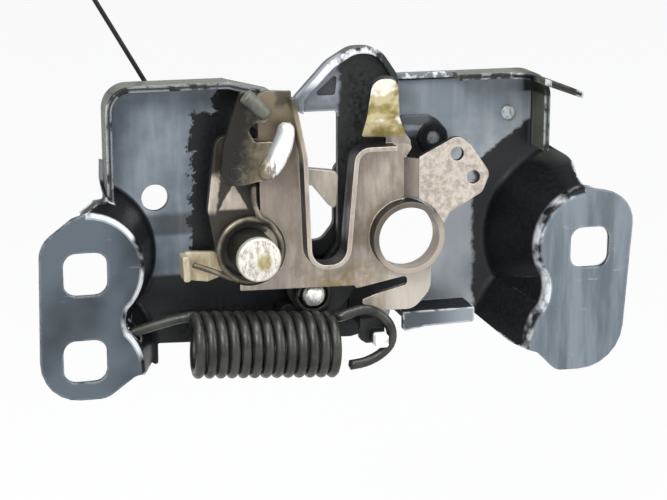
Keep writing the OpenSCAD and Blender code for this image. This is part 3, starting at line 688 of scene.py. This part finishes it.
# %% [markdown]
# ## Springs and pins
# The springs are phosphated wire with the oil still on. The pins are turned steel: the big head is
# brushed and has a spot of old grease, the hook's rivet has a bright dome, and the kicker's pivot
# is painted over but for its middle. Rings round an axis come from one distance node.

# %% Make the wire and pin finishes
def spring_wire(name, dark, light, rough):
    """Oiled wire, or anything else that is dark and even."""
    f = Finish(name, metallic=0.45, roughness=rough)
    grain = f.noise(800, 4)
    f.ground(f.ramp(f.noise(150, 3), 0.35, 0.65), dark, light)
    f.feed("Roughness", f.ramp(grain, 0.3, 0.7, rough - 0.08, rough + 0.12))
    f.bump(grain, 0.10, 0.0002, radius=0.0001)
    return f.material


def pin_steel(name, light, dark, axis=None, reach=None, ring=None, fade=None):
    """Brushed steel; with an axis, the middle keeps it out to reach, and the rest is ring."""
    f = Finish(name, metallic=0.5, roughness=0.3)
    marks = f.noise(900, 5, 0.7, stretch=(1, 1, 0.5), turn=(0, 0.6, 0))
    f.ground(f.ramp(marks, 0.36, 0.62), dark, light)
    if axis:
        flat = f.add("ShaderNodeVectorMath", {0: f.place, 1: (1, 0, 1)}, operation="MULTIPLY")
        away = f.distance(spot(*axis, 0), flat.outputs[0])
        away = f.shift(away, f.noise(420, 4), 0.0012)
        f.coat(f.ramp(away, reach - fade, reach + fade), ring)
    f.feed("Roughness", f.ramp(marks, 0.3, 0.7, 0.22, 0.42))
    f.bump(marks, 0.25, 0.0002)
    return f


SPRING_DARK = spring_wire("main_spring_phosphate", "#292a25", "#40413b", 0.36)
SPRING_ZINC = spring_wire("claw_spring_zinc", "#544e42", "#8b8373", 0.34)
BUSH_DARK = spring_wire("bush_dark", "#171614", "#2a2825", 0.42)
CABLE_BLACK = spring_wire("cable_black", "#0d0d0d", "#1a1a1a", 0.55)
SPACER_STEEL = pin_steel("spacer_steel", "#8d8f8e", "#5d5f60").material
WEB_RIVET = pin_steel("web_rivet_steel", "#c9cbcc", "#8f9396").material
DOME_STEEL = pin_steel(
    "dome_steel", "#fbfaf6", "#d9d6cc", HOOK_PIVOT, 0.0034, "#23231f", 0.0002).material
KICKER_PIN = pin_steel(
    "kicker_pin_painted", "#85888a", "#5d6062", KICKER_PIVOT, 0.0019, "#131517", 0.0005).material
head = pin_steel("pin_head_steel", "#efebe2", "#b3aa9c", CLAW_PIVOT, 0.0064, "#cfc9bd", 0.0006)
from_spot = head.shift(head.distance(spot(-22.2, 3.4, 27.6)), head.noise(420, 4), 0.0034)
head.coat(head.ramp(from_spot, 0.0036, 0.0014, 0.0, 0.75), "#958a3e")
PIN_HEAD = head.material
print("made the wire and pin finishes")

# %% [markdown]
# ## Smooth springs
# The CAD springs are swept with few sides to keep the solids light, so their facets would show.
# We sweep them again along the same lines, with round wire and a smooth path between the points.
# A curve object would also do, but here the tube is built as a mesh from rings of vertices.

# %% Wire helpers
END_DOME = 0.35


def smooth_line(points, parts):
    """Puts points between the given ones on a Catmull-Rom curve."""
    ends = [points[0] * 2 - points[1]] + list(points) + [points[-1] * 2 - points[-2]]
    line = []
    for k in range(1, len(ends) - 2):
        a, b, c, d = ends[k - 1:k + 3]
        for s in range(parts):
            t = s / parts
            curve = 2 * b + (c - a) * t + (2 * a - 5 * b + 4 * c - d) * t ** 2
            line.append(0.5 * (curve + (3 * b - a - 3 * c + d) * t ** 3))
    return line + [points[-1]]


def quads(rows, ring):
    """Faces between each row of a ring's vertices and the next."""
    faces = []
    for k in range(rows - 1):
        for s in range(ring):
            n = (s + 1) % ring
            faces.append((k * ring + s, k * ring + n, (k + 1) * ring + n, (k + 1) * ring + s))
    return faces


def wire_tube(name, line, radius, sides=14):
    """A round wire along a line, closed by a small dome at each end."""
    verts = []
    side = (line[1] - line[0]).orthogonal().normalized()
    last = len(line) - 1
    for k, point in enumerate(line):
        along = (line[min(k + 1, last)] - line[max(k - 1, 0)]).normalized()
        side = (side - along * side.dot(along)).normalized()
        other = along.cross(side)
        for s in range(sides):
            turn = 2 * math.pi * s / sides
            verts.append(point + radius * (math.cos(turn) * side + math.sin(turn) * other))
    faces = quads(len(line), sides)
    for end, step in ((0, 1), (last, -1)):
        verts.append(line[end] + (line[end] - line[end + step]).normalized() * radius * END_DOME)
        for s in range(sides):
            a, b = end * sides + s, end * sides + (s + 1) % sides
            faces.append((b, a, len(verts) - 1) if end == 0 else (a, b, len(verts) - 1))
    mesh = bpy.data.meshes.new(name)
    mesh.from_pydata([tuple(p) for p in verts], [], faces)
    mesh.polygons.foreach_set("use_smooth", [True] * len(mesh.polygons))
    mesh.update()
    print(name, len(mesh.polygons), "faces")
    return add_object(name, mesh)


# %% [markdown]
# The big spring hangs in a hole of the left wall and ends in an eye round the kicker's peg. Its
# tail, its coil and its eye are swept as one wire.

# %% Wind the big spring
MAIN_WIRE, MAIN_OD, MAIN_TURNS, MAIN_STEPS, MAIN_H = 3.3, 21.4, 13, 18, 18.5
main_left, main_right = (-43.3, -23.9), (3.6, -27.3)
hole_x, hole_z, tail_h = -59.5, -18.6, MAIN_H - 2.5
main_r = (MAIN_OD - MAIN_WIRE) / 2
run = Vector((main_right[0] - main_left[0], main_right[1] - main_left[1]))
along = run.normalized()
tail = [
    spot(hole_x - 4, hole_z - 3.4, tail_h), spot(hole_x - 3, hole_z - 1, tail_h),
    spot(hole_x, hole_z, tail_h), spot(hole_x + 5.5, hole_z + 1.4, tail_h + 0.2),
    spot(hole_x + 11, hole_z + 2.8, tail_h + 0.8),
    spot(main_left[0] - 2, main_left[1] + main_r - 0.2, MAIN_H - 0.6)]
coil = []
for k in range(MAIN_TURNS * MAIN_STEPS + 1):
    share, turn = k / (MAIN_TURNS * MAIN_STEPS), 2 * math.pi * k / MAIN_STEPS
    x = main_left[0] + run.x * share - along.y * main_r * math.cos(turn)
    z = main_left[1] + run.y * share + along.x * main_r * math.cos(turn)
    coil.append(spot(x, z, MAIN_H + main_r * math.sin(turn)))
eye = [
    spot(main_right[0] + 3.9, main_right[1] + main_r + 0.9, MAIN_H + 0.2),
    spot(11.5, -16.4, 19), spot(15.5, -17.2, 19.3), spot(19.3, -20.2, 19.5),
    spot(21.2, -24.2, 19.5), spot(20.7, -28.4, 19.5), spot(17.2, -31.8, 19.3),
    spot(12.5, -33.9, 19), spot(7.6, -34.6, 18.8)]
main_spring = wire_tube("main_spring_wire", smooth_line(tail + coil + eye, 3), MAIN_WIRE / 2000)
main_spring.data.materials.append(SPRING_DARK)
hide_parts("main_spring")
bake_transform(main_spring)

# %% [markdown]
# The claw's spring is wound round the pin, with one leg on the fixed anchor and one at the lever.

# %% Wind the claw's spring
CLAW_TOP, CLAW_WIRE, CLAW_OD, COIL_GAP = 8.2 + 3, 1.8, 21.8, 0.2
CLAW_FIRST, CLAW_SWEEP, CLAW_STEPS = 256, 499, 32


def coil_ring(pivot, radius, first, sweep, steps, low, rise):
    """Points of a coil round a pivot, from an angle over a sweep in degrees."""
    ring = []
    for k in range(steps + 1):
        turn = math.radians(first + sweep * k / steps)
        x, z = pivot[0] + radius * math.cos(turn), pivot[1] + radius * math.sin(turn)
        ring.append(spot(x, z, low + rise * k / steps))
    return ring


low = CLAW_TOP + CLAW_WIRE / 2 + COIL_GAP
rise = (CLAW_WIRE + 0.1) * CLAW_SWEEP / 360
ring = coil_ring(
    CLAW_PIVOT, (CLAW_OD - CLAW_WIRE) / 2, CLAW_FIRST, CLAW_SWEEP, CLAW_STEPS, low, rise)
fixed_leg = [
    spot(-41, -0.6, 9.4), spot(-37.5, -1.7, 10.6), spot(-34, -2.9, 12), spot(-30, -4.6, low)]
free_leg = [
    ring[-1] + Vector((-0.57, 0, 0.82)) * 0.004, spot(-20.8, 15.2, 15.6),
    spot(-22.3, 19.5, 14.6), spot(-22.4, 25, 14)]
claw_line = smooth_line(fixed_leg + ring + free_leg, 4)
claw_spring = wire_tube("claw_spring_wire", claw_line, CLAW_WIRE / 2000)
claw_spring.data.materials.append(SPRING_ZINC)
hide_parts("claw_spring")
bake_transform(claw_spring)

# %% [markdown]
# The hook's spring is a plain coil of two turns round its rivet. It has no legs to carry along,
# so it simply stays with the tray. It hardly shows, but the same helpers make it in a few lines.

# %% Wind the hook's spring
HOOK_COIL_R, HOOK_STEPS, HOOK_LOW, HOOK_RISE, HOOK_WIRE_R = 5.2, 40, 8.5, 2.6, 0.0006
ring = coil_ring(HOOK_PIVOT, HOOK_COIL_R, 180, 720, HOOK_STEPS, HOOK_LOW, HOOK_RISE)
hook_spring = wire_tube("hook_spring_wire", smooth_line(ring, 3), HOOK_WIRE_R, 10)
hook_spring.data.materials.append(SPRING_DARK)
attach(hook_spring, "base")
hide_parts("hook_spring")

# %% [markdown]
# ## Rolled edge of the lever
# The lever's right edge is rolled over towards the fingers that push it. The roll is full at its
# top, bends to the left and runs out at its lower end. The CAD lever has a plain bar there, so we
# lay the true form over it: a row of rounded sections, each with its own width, joined by faces.
# A spindle on a lathe would be quicker to make, but this roll is flat underneath and bent.

# %% Roll the lever's edge
ROLL_FOOT, ROLL_RISE, ROLL_FULL, ROLL_SIDES, ROLL_SQUARE = 17.2, 3.2, 2.6, 16, 0.8
ROLL_LINE = [
    (-12.6, 44.9, 1.3), (-12.7, 43.6, 2.6), (-13.0, 41.0, 3.0), (-14.2, 37.2, 3.3),
    (-16.1, 33.2, 3.3), (-18.4, 30.1, 3.0), (-20.4, 28.8, 2.0), (-21.3, 28.4, 0.9)]
sections = smooth_line([Vector(p) for p in ROLL_LINE], 5)
last = len(sections) - 1
verts = []
for k, (x, z, half) in enumerate(sections):
    step = sections[min(k + 1, last)] - sections[max(k - 1, 0)]
    across = Vector((-step.y, step.x)).normalized() * half
    rise = ROLL_RISE * min(1.0, half / ROLL_FULL) ** 0.5
    for s in range(ROLL_SIDES + 1):
        turn = math.pi * s / ROLL_SIDES
        out = math.copysign(abs(math.cos(turn)) ** ROLL_SQUARE, math.cos(turn))
        up = max(math.sin(turn), 0.0) ** ROLL_SQUARE
        verts.append(tuple(spot(x + across.x * out, z + across.y * out, ROLL_FOOT + rise * up)))
edge = ROLL_SIDES + 1
sides = quads(len(sections), edge)
caps = [tuple(range(edge - 1, -1, -1)), tuple(range(last * edge, len(sections) * edge))]
roll_mesh = bpy.data.meshes.new("lever_roll")
roll_mesh.from_pydata(verts, [], sides + caps)
shell = bmesh.new()
shell.from_mesh(roll_mesh)
bmesh.ops.recalc_face_normals(shell, faces=shell.faces)
shell.to_mesh(roll_mesh)
shell.free()
rounded = [k % edge != edge - 1 for k in range(len(sides))]
roll_mesh.polygons.foreach_set("use_smooth", rounded + [False] * len(caps))
lever_roll = add_object("lever_roll", roll_mesh)
roll_mesh.materials.append(ROLL_HIGHLIGHT)
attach(lever_roll, "claw")
print("lever_roll", len(roll_mesh.polygons), "faces")

# %% [markdown]
# ## Dress the solids
# The rest of the latch keeps its CAD solids, which are exact. Each one only needs its finish, so
# we look each piece up in a short table.

# %% Give every solid its finish
FINISHES = {
    "base_plate": TRAY_PAINT, "cable_stop": BLACK_SMALL, "guide_plate": GUIDE_ZINC,
    "claw": CLAW_ZINC, "release_lever": LEVER_ZINC, "lever_rivet_low": LEVER_ZINC,
    "lever_rivet_high": LEVER_ZINC, "claw_pin": PIN_HEAD, "hook_rivet": DOME_STEEL,
    "kicker_pin": KICKER_PIN, "claw_spacer": SPACER_STEEL, "hook_spacer": SPACER_STEEL,
    "hook_stop": BLACK_SMALL, "kicker_stop": BLACK_SMALL, "spring_sleeve": BUSH_DARK,
    "spring_anchor": TAB_ZINC, "anchor_rivet": SPACER_STEEL, "web_rivet": WEB_RIVET,
    "cable_eye": SPACER_STEEL, "cable_nipple": NIPPLE_GREY, "safety_hook": HOOK_BLACK,
    "kicker": KICKER_BLACK}
for name, finish in FINISHES.items():
    nodes[name].data.materials.clear()
    nodes[name].data.materials.append(finish)
cable_curve.materials.append(CABLE_BLACK)
print("dressed", len(FINISHES), "solids")
